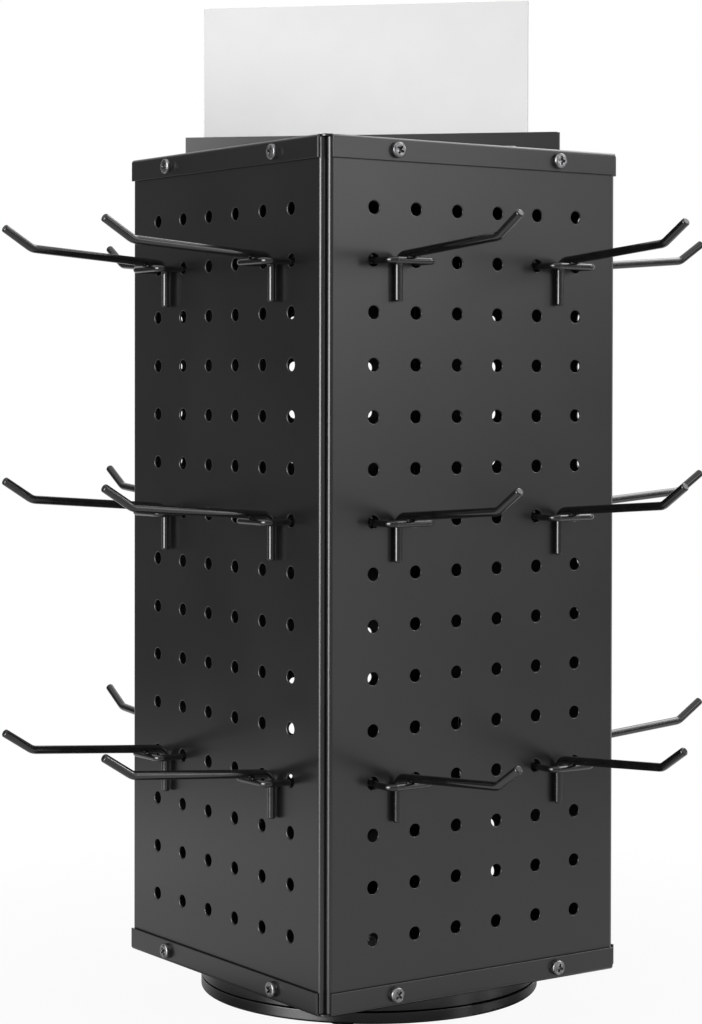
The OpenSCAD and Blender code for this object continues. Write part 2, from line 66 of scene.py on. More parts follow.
# Round table top
FLOOR_R = 0.8
FLOOR_SIDES = 96
FLOOR_MATTE = (0.4, 0.4, 0.4, 1)
FLOOR_SATIN = (0.32, 0.32, 0.32, 1)
FLOOR_SATIN_ROUGHNESS = 0.2
TO_BACK = (0.0, 1.0, 0.0)

# Share of plain white in the table top: the kind of ray that sees it, the distance that it grows along,
# the two distances in metres between which it grows, and its value at each
FLOOR_WHITE = (
    ("Is Camera Ray", "from middle", (0.12, 0.45), (0.94, 1.0)),
    ("Is Transmission Ray", "from middle", (0.12, 0.45), (0.94, 1.0)),
    ("Is Glossy Ray", "from middle", (0.12, 0.16), (0.0, 0.65)),
    ("Is Glossy Ray", "to back", (0.0, 0.34), (0.0, 0.85)),
)

# Strength of the world's plain light, and the room that gloss mirrors. Each row makes the room lighter
# in one direction: the direction, the two cosines to it between which that grows, and the value at each.
# They are a white backdrop behind the object, a dim room that is lighter in front of it, and a ceiling
WORLD_LIGHT = 0.15
ROOM = (
    ((0.62, 0.785, 0.0), (0.45, 0.75), (0.0, 1.0)),
    ((0.50, -0.87, 0.0), (-1.0, 0.8), (0.15, 0.42)),
    ((0.0, 0.0, 1.0), (0.2, 0.9), (0.0, 1.0)),
)

# Soft boxes aimed at the middle of the tower: azimuth from +x and elevation in degrees, distance and size
# in metres, and radiance. The fills light matte surfaces and don't show in gloss, and the others show in
# gloss and light nothing else
LAMP_AIM = Vector((0, 0, 0.25))
FILLS = (
    ("fill_front", 226, 13, 4.5, (2.7, 1.8), 11.8),
    ("fill_back", 46, 22, 3.6, (2.2, 1.6), 6),
)
GLOSS_BOXES = (
    ("soft_box_left", 186, 12, 4.0, (2.7, 2.8), 6.5),
    ("soft_box_left_core", 190, 8, 3.9, (1.6, 2.4), 4.5),
    ("strip_right", 299, -8, 2.2, (0.14, 1.5), 1.8),
    ("panel_right", 300, 17, 2.2, (0.44, 1.0), 2.0),
    ("soft_box_right", 325, 19, 2.4, (0.40, 0.4), 14),
    ("soft_box_high_right", 334, 44, 2.4, (1.1, 0.8), 2.6),
    ("soft_box_high_back", 14, 48, 2.4, (1.1, 0.8), 5.0),
)

# Values of a noise texture between which a roughness and a colour vary
NOISE_SPREAD = (0.3, 0.7)
NOISE_COLOR_SPREAD = (0.35, 0.65)

# Blue of the nearly neutral finishes, as a multiple of their red and green
BLUE_TRACE = 1.02

# Sizes of the perforated faces, in metres, as in the CAD source
FACE_LOW, FACE_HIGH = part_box("face_front")
FACE_OUT = -FACE_LOW.y
FACE_HALF = FACE_HIGH.x
LONG_FOLD = FACE_HIGH.y - FACE_LOW.y
SHORT_FOLD = 0.0028
FACE_T = 0.001
PITCH = 0.0254
COLUMNS = 6
ROWS = 15
PEG_HOLE_R = 0.003175
RIM_SCREW_X = 0.0508

# Outer radius of the faces' bends, a little rounder than in the CAD source
FACE_BEND_R = 0.0021

# Sizes of the caps and of the sign's two angles, in metres, as in the CAD source
CAP_LOW, CAP_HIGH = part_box("bottom_cap")
TOWER_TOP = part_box("top_cap")[1].z
CAP_HALF = CAP_HIGH.x
CAP_RIM_H = CAP_HIGH.z - CAP_LOW.z
CAP_T = 0.0012
CAP_BEND_R = 0.0018
RIM_RELIEF = 0.0008
RIM_HALF = FACE_HALF - RIM_RELIEF
PLATE_CORNER_R = 0.0035
RIM_SCREW_Z = 0.006
SCREW_HOLE_R = 0.0022
ACCESS_R = 0.017
DISC_SCREW_AT = 0.042
SLOT_TURN = math.radians(-45)
SLOT_HALF = 0.00095
ANGLE_T = 0.0012
ANGLE_L = 0.2
ANGLE_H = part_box("sign_angle_front")[1].z - TOWER_TOP
ANGLE_FOOT = 0.015
ANGLE_BEND_R = 0.0018
ANGLE_CORNER_R = 0.0015
ANGLE_SCREW_X = 0.075
ANGLE_SCREW_Y = 0.0084

# Eased edges of holes and outlines in sheet metal: how far in they reach on the outer and the inner skin
HOLE_LIPS = (0.00055, 0.00010)
SHEARED_LIPS = (0.00030, 0.00020)

# How finely holes, bends, rounded corners and eased edges are divided
HOLE_SIDES = 32
BEND_STEPS = 6
CORNER_STEPS = 8
EDGE_STEPS = 4

# Neighbouring edges of an outline are parts of one curve where their normals' cosine is above this
SMOOTH_COS = 0.9

# How closely points of a mesh, points near a bend line and points of a triangulation are told apart, and
# the decimals to which the points of a flat pattern are remembered
POINTS_PER_M = 1e7
NEAR = 1e-7
NEAR_TRIANGLES = 1e-8
PATTERN_DECIMALS = 8

# Direction from the outer skin of a flat sheet to its inner skin
INWARDS = Vector((0, 1, 0))

# Wire of the hooks, in metres, as in the CAD source
PRONG_R = 0.0017
ARM_R = 0.00215
CROSS_OUT = 0.0145
PRONG_DROP = 0.0005
PRONG_RISE = 0.009
PRONG_IN = 0.0033
PRONG_BEND_R = 0.0026
CROSS_BEND_R = 0.0034
WELD_DEPTH = 0.0003
ARM_SLOPE = math.radians(4.3)
ARM_REACH = 0.081
TIP_ANGLE = math.radians(32)
TIP_L = 0.0189
TIP_BEND_R = 0.008
STEM_OUT = 0.0026
STEM_DROP = 0.020
STEM_BEND_R = 0.006

# How finely the wire is divided, and how its cut ends are eased
WIRE_SIDES = 20
WIRE_EDGE_R = 0.0009
BEND_STEP = math.radians(7)

# Weld beads on both sides of a hook's arm: half sizes, how much each varies, the places beside and over
# the cross-piece in wire radii, how far they wander along the arm, and the lumps on them
BEAD_HALF = (0.0016, 0.0012, 0.0007)
BEAD_VARIES = ((0.9, 1.15), (0.9, 1.1), (0.9, 1.15))
BEAD_BESIDE = 0.75
BEAD_OVER = 0.88
BEAD_WANDER = 0.0002
BEAD_LUMPS = (0.07, 0.05)
BEAD_SIDES = 14
BEAD_RINGS = 9
BEAD_PROBE = 0.01

# Softened edges of the CAD nodes that stay
MERGE_WITHIN = 0.000002
SHARP_ANGLE = math.radians(35)
BEVEL_SEGMENTS = 2


def make_camera():
    """Camera at the photograph's place, with the picture shifted so that uprights stay upright."""
    a, e = CAMERA_AZIMUTH, CAMERA_PITCH
    back = Vector((math.sin(a) * math.cos(e), -math.cos(a) * math.cos(e), math.sin(e)))
    right = (-back).cross(Vector((0, 0, 1))).normalized()
    up = back.cross(right)
    turned_right = right * math.cos(CAMERA_ROLL) + up * math.sin(CAMERA_ROLL)
    turned_up = back.cross(turned_right)
    turn = Matrix((turned_right, turned_up, back)).transposed()
    data = bpy.data.cameras.new("camera")
    data.sensor_width = SENSOR
    data.lens = FOCAL_PX * SENSOR / IMAGE_H
    data.shift_y = -(IMAGE_H / 2 - OPTICAL_AXIS_V) / IMAGE_H
    data.clip_start = CLIP_NEAR
    data.clip_end = CLIP_FAR
    camera = bpy.data.objects.new("camera", data)
    camera.matrix_world = Matrix.Translation(CAMERA_PLACE) @ turn.to_4x4()
    bpy.context.scene.collection.objects.link(camera)
    bpy.context.scene.camera = camera


def new_material(name):
    """Empty node material, a function that adds a node to it, and one that links two sockets."""
    material = bpy.data.materials.new(name)
    material.use_nodes = True
    tree = material.node_tree
    tree.nodes.clear()
    return material, tree.nodes.new, tree.links.new


def graded(node, link, value, run, levels, interpolation="SMOOTHSTEP"):
    """Number that goes from one level to the other while the value runs from one end to the other."""
    spread = node("ShaderNodeMapRange")
    spread.interpolation_type = interpolation
    for name, number in zip(("From Min", "From Max", "To Min", "To Max"), (*run, *levels)):
        spread.inputs[name].default_value = number
    link(value, spread.inputs["Value"])
    return spread.outputs["Result"]


def largest(node, link, values):
    """Largest of several numbers."""
    most = values[0]
    for value in values[1:]:
        larger = node("ShaderNodeMath")
        larger.operation = "MAXIMUM"
        link(most, larger.inputs[0])
        link(value, larger.inputs[1])
        most = larger.outputs[0]
    return most


def floor_distances(node, link):
    """Distance on the table top from its middle, and the distance towards the back."""
    place = node("ShaderNodeTexCoord")
    from_middle = node("ShaderNodeVectorMath")
    from_middle.operation = "LENGTH"
    link(place.outputs["Object"], from_middle.inputs[0])
    to_back = node("ShaderNodeVectorMath")
    to_back.operation = "DOT_PRODUCT"
    to_back.inputs[1].default_value = TO_BACK
    link(place.outputs["Object"], to_back.inputs[0])
    return {"from middle": from_middle.outputs["Value"], "to back": to_back.outputs["Value"]}


def make_floor():
    """Pale table top, satin in gloss and matte to other rays.

    It fades to the background's white away from the object, and keeps a soft shadow near it.
    """
    mesh = bpy.data.meshes.new("floor")
    turns = [2 * math.pi * i / FLOOR_SIDES for i in range(FLOOR_SIDES)]
    rim = [(FLOOR_R * math.cos(a), FLOOR_R * math.sin(a), 0) for a in turns]
    mesh.from_pydata(rim, [], [tuple(range(FLOOR_SIDES))])
    floor = bpy.data.objects.new("floor", mesh)
    bpy.context.scene.collection.objects.link(floor)
    material, node, link = new_material("floor")
    path = node("ShaderNodeLightPath")
    matte = node("ShaderNodeBsdfDiffuse")
    matte.inputs["Color"].default_value = FLOOR_MATTE
    satin = node("ShaderNodeBsdfAnisotropic")
    satin.inputs["Color"].default_value = FLOOR_SATIN
    satin.inputs["Roughness"].default_value = FLOOR_SATIN_ROUGHNESS
    surface = node("ShaderNodeMixShader")
    link(path.outputs["Is Glossy Ray"], surface.inputs["Fac"])
    link(matte.outputs[0], surface.inputs[1])
    link(satin.outputs[0], surface.inputs[2])
    distances = floor_distances(node, link)
    shares = []
    for ray, distance, run, levels in FLOOR_WHITE:
        share = node("ShaderNodeMath")
        share.operation = "MULTIPLY"
        link(path.outputs[ray], share.inputs[0])
        link(graded(node, link, distances[distance], run, levels, "LINEAR"), share.inputs[1])
        shares.append(share.outputs[0])
    white = node("ShaderNodeEmission")
    mix = node("ShaderNodeMixShader")
    out = node("ShaderNodeOutputMaterial")
    link(largest(node, link, shares), mix.inputs["Fac"])
    link(surface.outputs[0], mix.inputs[1])
    link(white.outputs[0], mix.inputs[2])
    link(mix.outputs[0], out.inputs["Surface"])
    mesh.materials.append(material)


def background(node, strength):
    """White background of a given strength."""
    shader = node("ShaderNodeBackground")
    shader.inputs["Color"].default_value = (1, 1, 1, 1)
    shader.inputs["Strength"].default_value = strength
    return shader


def room_brightness(node, link):
    """Brightness of the room that gloss mirrors, by direction."""
    place = node("ShaderNodeTexCoord")
    parts = []
    for toward, run, levels in ROOM:
        along = node("ShaderNodeVectorMath")
        along.operation = "DOT_PRODUCT"
        along.inputs[1].default_value = toward
        link(place.outputs["Generated"], along.inputs[0])
        parts.append(graded(node, link, along.outputs["Value"], run, levels))
    return largest(node, link, parts)


def make_world():
    """White to the camera, the studio's room to gloss and glass, and plain soft light to all other rays."""
    world = bpy.data.worlds.new("studio")
    bpy.context.scene.world = world
    world.use_nodes = True
    tree = world.node_tree
    tree.nodes.clear()
    node, link = tree.nodes.new, tree.links.new
    light = background(node, WORLD_LIGHT)
    white = background(node, 1.0)
    room = background(node, 1.0)
    link(room_brightness(node, link), room.inputs["Color"])
    path = node("ShaderNodeLightPath")
    camera_ray = path.outputs["Is Camera Ray"]
    white_or_room = node("ShaderNodeMixShader")
    link(camera_ray, white_or_room.inputs["Fac"])
    link(room.outputs[0], white_or_room.inputs[1])
    link(white.outputs[0], white_or_room.inputs[2])
    rays = [camera_ray, path.outputs["Is Glossy Ray"], path.outputs["Is Transmission Ray"]]
    mix = node("ShaderNodeMixShader")
    out = node("ShaderNodeOutputWorld")
    link(largest(node, link, rays), mix.inputs["Fac"])
    link(light.outputs[0], mix.inputs[1])
    link(white_or_room.outputs[0], mix.inputs[2])
    link(mix.outputs[0], out.inputs["Surface"])


def soft_box(name, azimuth, elevation, distance, size, radiance, in_gloss):
    """Rectangular lamp that either shows in gloss or lights matte surfaces."""
    a, e = math.radians(azimuth), math.radians(elevation)
    away = Vector((math.cos(a) * math.cos(e), math.sin(a) * math.cos(e), math.sin(e)))
    data = bpy.data.lights.new(name, "AREA")
    data.shape = "RECTANGLE"
    data.size, data.size_y = size
    data.energy = radiance * math.pi * size[0] * size[1]
    lamp = bpy.data.objects.new(name, data)
    lamp.location = LAMP_AIM + away * distance
    lamp.rotation_euler = away.to_track_quat("Z", "Y").to_euler()
    lamp.visible_diffuse = not in_gloss
    lamp.visible_glossy = in_gloss
    bpy.context.scene.collection.objects.link(lamp)


def make_lights():
    for box in FILLS:
        soft_box(*box, in_gloss=False)
    for box in GLOSS_BOXES:
        soft_box(*box, in_gloss=True)


def principled(name, color, roughness, metallic=0.0, specular=0.5):
    """Material with a principled shader, and the handles that its textures need."""
    material, node, link = new_material(name)
    shader = node("ShaderNodeBsdfPrincipled")
    shader.inputs["Base Color"].default_value = (*color, 1)
    shader.inputs["Roughness"].default_value = roughness
    shader.inputs["Metallic"].default_value = metallic
    shader.inputs["Specular IOR Level"].default_value = specular
    out = node("ShaderNodeOutputMaterial")
    link(shader.outputs[0], out.inputs["Surface"])
    return material, node, link, shader


def object_noise(node, link, scale, detail):
    """Noise texture that stays on its object."""
    place = node("ShaderNodeTexCoord")
    noise = node("ShaderNodeTexNoise")
    noise.inputs["Scale"].default_value = scale
    noise.inputs["Detail"].default_value = detail
    link(place.outputs["Object"], noise.inputs["Vector"])
    return noise


def vary_roughness(node, link, noise, shader, low, high):
    """Lets a shader's roughness vary with noise from low to high."""
    roughness = graded(node, link, noise.outputs["Fac"], NOISE_SPREAD, (low, high))
    link(roughness, shader.inputs["Roughness"])


def vary_color(node, link, noise, shader, low, high):
    """Lets a shader's colour vary with noise from low to high."""
    ramp = node("ShaderNodeValToRGB")
    ramp.color_ramp.interpolation = "EASE"
    for element, position, color in zip(ramp.color_ramp.elements, NOISE_COLOR_SPREAD, (low, high)):
        element.position = position
        element.color = (*color, 1)
    link(noise.outputs["Fac"], ramp.inputs["Fac"])
    link(ramp.outputs["Color"], shader.inputs["Base Color"])


def bump(node, link, texture, shader, strength, distance):
    """Gives a shader the relief of a texture, its height in metres."""
    relief = node("ShaderNodeBump")
    relief.inputs["Strength"].default_value = strength
    relief.inputs["Distance"].default_value = distance
    link(texture.outputs["Fac"], relief.inputs["Height"])
    link(relief.outputs["Normal"], shader.inputs["Normal"])


def grey(value):
    """Grey with a trace of blue."""
    return (value, value, value * BLUE_TRACE)


def coated_sheet():
    """Satin black powder coat with a fine orange peel."""
    material, node, link, shader = principled("coated_sheet", grey(0.005), roughness=0.29, specular=0.75)
    cloud = object_noise(node, link, scale=14, detail=3)
    vary_roughness(node, link, cloud, shader, low=0.277, high=0.305)
    vary_color(node, link, cloud, shader, low=grey(0.004), high=grey(0.006))
    peel = object_noise(node, link, scale=900, detail=2)
    bump(node, link, peel, shader, strength=0.12, distance=0.00006)
    return material


def coated_wire():
    """Gloss black coat on drawn wire, a little uneven."""
    material, node, link, shader = principled("coated_wire", grey(0.004), roughness=0.17, specular=0.75)
    cloud = object_noise(node, link, scale=160, detail=3)
    vary_roughness(node, link, cloud, shader, low=0.13, high=0.20)
    vary_color(node, link, cloud, shader, low=grey(0.003), high=grey(0.005))
    peel = object_noise(node, link, scale=1100, detail=2)
    bump(node, link, peel, shader, strength=0.15, distance=0.00005)
    return material


def moulded_plastic():
    """Black moulded plastic with a fine grain."""
    material, node, link, shader = principled("moulded_plastic", grey(0.006), roughness=0.25, specular=0.75)
    cloud = object_noise(node, link, scale=24, detail=3)
    vary_roughness(node, link, cloud, shader, low=0.235, high=0.265)
    vary_color(node, link, cloud, shader, low=grey(0.004), high=grey(0.006))
    grain = object_noise(node, link, scale=1500, detail=3)
    bump(node, link, grain, shader, strength=0.10, distance=0.00005)
    return material


def rubber():
    """Matte black rubber with a fine grain."""
    material, node, link, shader = principled("rubber", grey(0.02), roughness=0.75, specular=0.3)
    cloud = object_noise(node, link, scale=90, detail=3)
    vary_color(node, link, cloud, shader, low=grey(0.016), high=grey(0.026))
    grain = object_noise(node, link, scale=1800, detail=3)
    bump(node, link, grain, shader, strength=0.25, distance=0.00006)
    return material


def bearing_steel():
    """Ground steel with fine circular marks."""
    material, node, link, shader = principled("bearing_steel", grey(0.55), roughness=0.25, metallic=1.0)
    place = node("ShaderNodeTexCoord")
    marks = node("ShaderNodeTexWave")
    marks.wave_type = "RINGS"
    marks.rings_direction = "Z"
    marks.inputs["Scale"].default_value = 700
    marks.inputs["Distortion"].default_value = 1.5
    link(place.outputs["Object"], marks.inputs["Vector"])
    cloud = object_noise(node, link, scale=60, detail=3)
    vary_roughness(node, link, cloud, shader, low=0.28, high=0.36)
    bump(node, link, marks, shader, strength=0.08, distance=0.00002)
    return material


def screw_nickel():
    """Dark nickel plate, a little uneven."""
    material, node, link, shader = principled("screw_nickel", grey(0.24), roughness=0.3, metallic=1.0)
    cloud = object_noise(node, link, scale=420, detail=3)
    vary_roughness(node, link, cloud, shader, low=0.28, high=0.40)
    vary_color(node, link, cloud, shader, low=grey(0.16), high=grey(0.32))
    bump(node, link, cloud, shader, strength=0.15, distance=0.00005)
    return material


def nylon():
    """Natural nylon, matte and slightly translucent."""
    material, node, link, shader = principled("nylon", (0.74, 0.73, 0.68), roughness=0.5)
    shader.inputs["Subsurface Weight"].default_value = 0.1
    shader.inputs["Subsurface Radius"].default_value = (0.002, 0.002, 0.002)
    cloud = object_noise(node, link, scale=120, detail=3)
    vary_color(node, link, cloud, shader, low=(0.70, 0.69, 0.64), high=(0.78, 0.77, 0.72))
    bump(node, link, cloud, shader, strength=0.08, distance=0.00005)
    return material


def sign_plastic():
    """Matte light grey sheet with an even, faint grain."""
    material, node, link, shader = principled("sign_plastic", grey(0.79), roughness=0.55, specular=0.3)
    cloud = object_noise(node, link, scale=40, detail=2)
    vary_color(node, link, cloud, shader, low=(0.785, 0.785, 0.785), high=(0.80, 0.80, 0.80))
    grain = object_noise(node, link, scale=1400, detail=2)
    bump(node, link, grain, shader, strength=0.06, distance=0.00003)
    return material


def paint(node_object, material):
    node_object.data.materials.clear()
    node_object.data.materials.append(material)


class Skin:
    """Mesh in the making.

    Each corner of each polygon has its own normal, so that flat and round parts meet smoothly.
    """

    def __init__(self):
        self.points = []
        self.known = {}
        self.polygons = []
        self.normals = []

    def number(self, place):
        """Number of the point at a place, which is added if it isn't there yet."""
        key = tuple(round(c * POINTS_PER_M) for c in place)
        if key not in self.known:
            self.known[key] = len(self.points)
            self.points.append(tuple(place))
        return self.known[key]

    def polygon(self, corners):
        """Adds a polygon from (place, normal) pairs, and turns it so that it faces along its normals."""
        numbers, kept = [], []
        for place, normal in corners:
            number = self.number(place)
            if number not in numbers:
                numbers.append(number)
                kept.append((place, normal))
        if len(kept) < 3:
            return
        facing = (kept[1][0] - kept[0][0]).cross(kept[2][0] - kept[0][0])
        if facing.dot(sum((normal for _, normal in kept), Vector())) < 0:
            numbers.reverse()
            kept.reverse()
        self.polygons.append(numbers)
        self.normals.extend(normal for _, normal in kept)

    def strip(self, one, other, closed=False):
        """Joins two rows of (place, normal) pairs with four-sided polygons."""
        count = len(one)
        for i in range(count if closed else count - 1):
            j = (i + 1) % count
            self.polygon((one[i], one[j], other[j], other[i]))

    def tube(self, rings):
        """Joins each ring of (place, normal) pairs to the next."""
        for one, other in zip(rings, rings[1:]):
            self.strip(one, other, closed=True)

    def build(self, name, material):
        """Makes the mesh's object."""
        mesh = bpy.data.meshes.new(name)
        mesh.from_pydata(self.points, [], self.polygons)
        mesh.shade_smooth()
        mesh.normals_split_custom_set([tuple(normal.normalized()) for normal in self.normals])
        mesh.materials.append(material)
        made = bpy.data.objects.new(name, mesh)
        bpy.context.scene.collection.objects.link(made)
        return made


def face_matrix(face):
    """Frame of a face: x along it to the viewer's right, y from its outer plane inwards, z up."""
    return Matrix.Rotation(math.pi / 2 * FACES.index(face), 4, "Z") @ Matrix.Translation((0, -FACE_OUT, 0))


def moved(matrix, corners):
    """The (place, normal) pairs carried into another frame."""
    turn = matrix.to_3x3()
    return [(matrix @ Vector(place), turn @ Vector(normal)) for place, normal in corners]


def arc(x, z, radius, first, last, steps):
    """Points of a flat pattern along an arc, its angles in degrees."""
    angles = [math.radians(first + (last - first) * i / steps) for i in range(steps + 1)]
    return [Vector((x + radius * math.cos(a), z + radius * math.sin(a))) for a in angles]


def round_hole(x, z, radius):
    """A hole's outline in a flat pattern, run clockwise so that it faces its own middle."""
    return arc(x, z, radius, 360, 360 / HOLE_SIDES, HOLE_SIDES - 1)


class Fold:
    """Right-angled fold of a flat pattern towards its inner side."""

    def __init__(self, away, start, radius):
        self.away = Vector(away)
        self.start = start
        self.radius = radius
        self.length = radius * math.pi / 2

    def lines(self):
        """Distances out from the middle of the pattern at which the bend is divided."""
        return [self.start + self.length * i / BEND_STEPS for i in range(BEND_STEPS + 1)]

    def frame(self, point):
        """Frame of the outer skin at a point past the start of the fold, or None before it."""
        run = point.dot(self.away) - self.start
        if run <= 0:
            return None
        turn = min(run / self.radius, math.pi / 2)
        flat = point - self.away * (run - self.radius * math.sin(turn))
        depth = self.radius * (1 - math.cos(turn)) + max(run - self.length, 0)
        away = Vector((self.away.x, 0, self.away.y))
        return Matrix.Translation((flat.x, depth, flat.y)) @ Matrix.Rotation(turn, 4, away.cross(INWARDS))


def folded_frame(folds, point):
    """Frame of a sheet's outer skin, once folded, at a point of its flat pattern."""
    for fold in folds:
        frame_there = fold.frame(point)
        if frame_there is not None:
            return frame_there
    return Matrix.Translation((point.x, 0, point.y))


def divided(outline, folds):
    """The outline with a point added wherever a dividing line of a fold crosses it."""
    points = []
    for one, other in zip(outline, outline[1:] + outline[:1]):
        shares = []
        for fold in folds:
            a, b = one.dot(fold.away), other.dot(fold.away)
            low, high = min(a, b) + NEAR, max(a, b) - NEAR
            shares += [(line - a) / (b - a) for line in fold.lines() if low < line < high]
        points.append(one)
        points += [one.lerp(other, share) for share in sorted(shares)]
    return points


def loop_edges(loop):
    """Both ends of each edge of an outline: point, mitre and normal. The last two point off the sheet."""
    count = len(loop)
    normals = []
    for one, other in zip(loop, loop[1:] + loop[:1]):
        along = (other - one).normalized()
        normals.append(Vector((along.y, -along.x)))
    cosines = [normals[i - 1].dot(normals[i]) for i in range(count)]
    mitres = [(normals[i - 1] + normals[i]) / (1 + cosines[i]) for i in range(count)]
    edges = []
    for i in range(count):
        ends = []
        for j in (i, (i + 1) % count):
            normal = mitres[j].normalized() if cosines[j] > SMOOTH_COS else normals[i]
            ends.append((loop[j], mitres[j], normal))
        edges.append(ends)
    return edges


def inset(loop, distance):
    """Outline moved onto the sheet by a distance."""
    return [ends[0][0] - ends[0][1] * distance for ends in loop_edges(loop)]


def edge_profile(thickness, lips):
    """Steps down a cut edge: inset, depth, and how its normal leans off the sheet and inwards."""
    outer, inner = lips
    profile = []
    for i in range(EDGE_STEPS + 1):
        a = math.pi / 2 * i / EDGE_STEPS
        profile.append((outer * (1 - math.sin(a)), outer * (1 - math.cos(a)), math.sin(a), -math.cos(a)))
    profile.append((0, thickness - inner, 1, 0))
    profile.append((inner, thickness, 0, 1))
    return profile


def sheet_triangles(outline, holes, folds):
    """Triangles, three flat points each, that fill an outline but not its holes and cross no bend line."""
    points, edges, owner = [], [], []
    for number, loop in enumerate([outline] + holes):
        first = len(points)
        points += loop
        owner += [number] * len(loop)
        edges += [(first + i, first + (i + 1) % len(loop)) for i in range(len(loop))]
    for fold in folds:
        for line in fold.lines():
            on_line = [i for i, point in enumerate(outline) if abs(point.dot(fold.away) - line) < NEAR]
            edges.append((on_line[0], on_line[-1]))
    triangles = delaunay_2d_cdt(points, edges, [], 1, NEAR_TRIANGLES)[2]
    return [
        [points[i] for i in corners]
        for corners in triangles
        if owner[corners[0]] == 0 or len({owner[i] for i in corners}) > 1
    ]


def sheet_piece(node_name, matrix, outline, holes, folds, thickness, lips, material):
    """Folded sheet-metal piece with eased edges round its outline and its holes, in place of a CAD node."""
    skin = Skin()
    outline = divided(outline, folds)
    frames = {}

    def corner(point, depth, normal):
        key = (round(point.x, PATTERN_DECIMALS), round(point.y, PATTERN_DECIMALS))
        if key not in frames:
            there = matrix @ folded_frame(folds, point)
            frames[key] = (there, there.to_3x3())
        there, turn = frames[key]
        return there @ Vector((0, depth, 0)), turn @ Vector(normal)

    for depth, lip, facing in ((0, 0, -1), (thickness, 1, 1)):
        loops = [inset(hole, HOLE_LIPS[lip]) for hole in holes]
        for triangle in sheet_triangles(inset(outline, lips[lip]), loops, folds):
            skin.polygon([corner(point, depth, (0, facing, 0)) for point in triangle])
    for loops, loop_lips in (([outline], lips), (holes, HOLE_LIPS)):
        profile = edge_profile(thickness, loop_lips)
        for loop in loops:
            for ends in loop_edges(loop):
                rows = [
                    [
                        corner(point - mitre * into, depth, (normal.x * out, inwards, normal.y * out))
                        for into, depth, out, inwards in profile
                    ]
                    for point, mitre, normal in ends
                ]
                skin.strip(*rows)
    piece = skin.build("sheet_" + node_name, material)
    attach(piece, "tower")
    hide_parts(node_name)


def perforated_face(face, material):
    """One side of the tower, with peg holes, rim screw holes, and a long and a short fold at its edges."""
    flat = FACE_HALF - FACE_BEND_R
    middle = (FACE_LOW.z + FACE_HIGH.z) / 2
    folds = [Fold((-1, 0), flat, FACE_BEND_R), Fold((1, 0), flat, FACE_BEND_R)]
    left = -(flat + folds[0].length + LONG_FOLD - FACE_BEND_R)
    right = flat + folds[1].length + SHORT_FOLD - FACE_BEND_R
    corners = ((left, FACE_LOW.z), (right, FACE_LOW.z), (right, FACE_HIGH.z), (left, FACE_HIGH.z))
    outline = [Vector(corner) for corner in corners]
    holes = [
        round_hole((column - (COLUMNS - 1) / 2) * PITCH, middle + (row - (ROWS - 1) / 2) * PITCH, PEG_HOLE_R)
        for column in range(COLUMNS)
        for row in range(ROWS)
    ]
    for x in (-RIM_SCREW_X, RIM_SCREW_X):
        for z in (FACE_LOW.z - CAP_T + RIM_SCREW_Z, FACE_HIGH.z + CAP_T - RIM_SCREW_Z):
            holes.append(round_hole(x, z, SCREW_HOLE_R))
    sheet_piece("face_" + face, face_matrix(face), outline, holes, folds, FACE_T, SHEARED_LIPS, material)


def cap_pattern():
    """Flat pattern of a cap: its cross-shaped outline, the rim screws' holes, and its four folds."""
    start = CAP_HALF - CAP_BEND_R
    folds = [Fold(away, start, CAP_BEND_R) for away in ((1, 0), (0, 1), (-1, 0), (0, -1))]
    past_bend = start + folds[0].length - CAP_BEND_R
    outline, holes = [], []
    for quarter in range(4):
        turn = Matrix.Rotation(math.pi / 2 * quarter, 2)
        corner = [Vector((past_bend + CAP_RIM_H, RIM_HALF))]
        corner += arc(RIM_HALF, RIM_HALF, PLATE_CORNER_R, 0, 90, CORNER_STEPS)
        corner.append(Vector((RIM_HALF, past_bend + CAP_RIM_H)))
        outline += [turn @ point for point in corner]
        for side in (-RIM_SCREW_X, RIM_SCREW_X):
            holes.append(round_hole(*(turn @ Vector((past_bend + RIM_SCREW_Z, side))), SCREW_HOLE_R))
    return outline, holes, folds


def bottom_cap(material):
    """Tray under the tower, with holes for the disc screws and an opening for the spindle's nut."""
    outline, holes, folds = cap_pattern()
    holes.append(round_hole(0, 0, ACCESS_R))
    for quarter in range(4):
        a = math.pi / 2 * (quarter + 0.5)
        holes.append(round_hole(DISC_SCREW_AT * math.cos(a), DISC_SCREW_AT * math.sin(a), SCREW_HOLE_R))
    inner_side_up = Matrix(((1, 0, 0, 0), (0, 0, 1, 0), (0, 1, 0, CAP_LOW.z), (0, 0, 0, 1)))
    sheet_piece("bottom_cap", inner_side_up, outline, holes, folds, CAP_T, SHEARED_LIPS, material)


def top_cap(material):
    """Tray over the tower, with the holes for the sign holder's screws."""
    outline, holes, folds = cap_pattern()
    turn = Matrix.Rotation(SLOT_TURN, 2)
    for x in (-ANGLE_SCREW_X, ANGLE_SCREW_X):
        for side in (-1, 1):
            place = turn @ Vector((x, side * (SLOT_HALF + ANGLE_T + ANGLE_SCREW_Y)))
            holes.append(round_hole(*place, SCREW_HOLE_R))
    inner_side_down = Matrix(((1, 0, 0, 0), (0, 0, 1, 0), (0, -1, 0, TOWER_TOP), (0, 0, 0, 1)))
    sheet_piece("top_cap", inner_side_down, outline, holes, folds, CAP_T, SHEARED_LIPS, material)


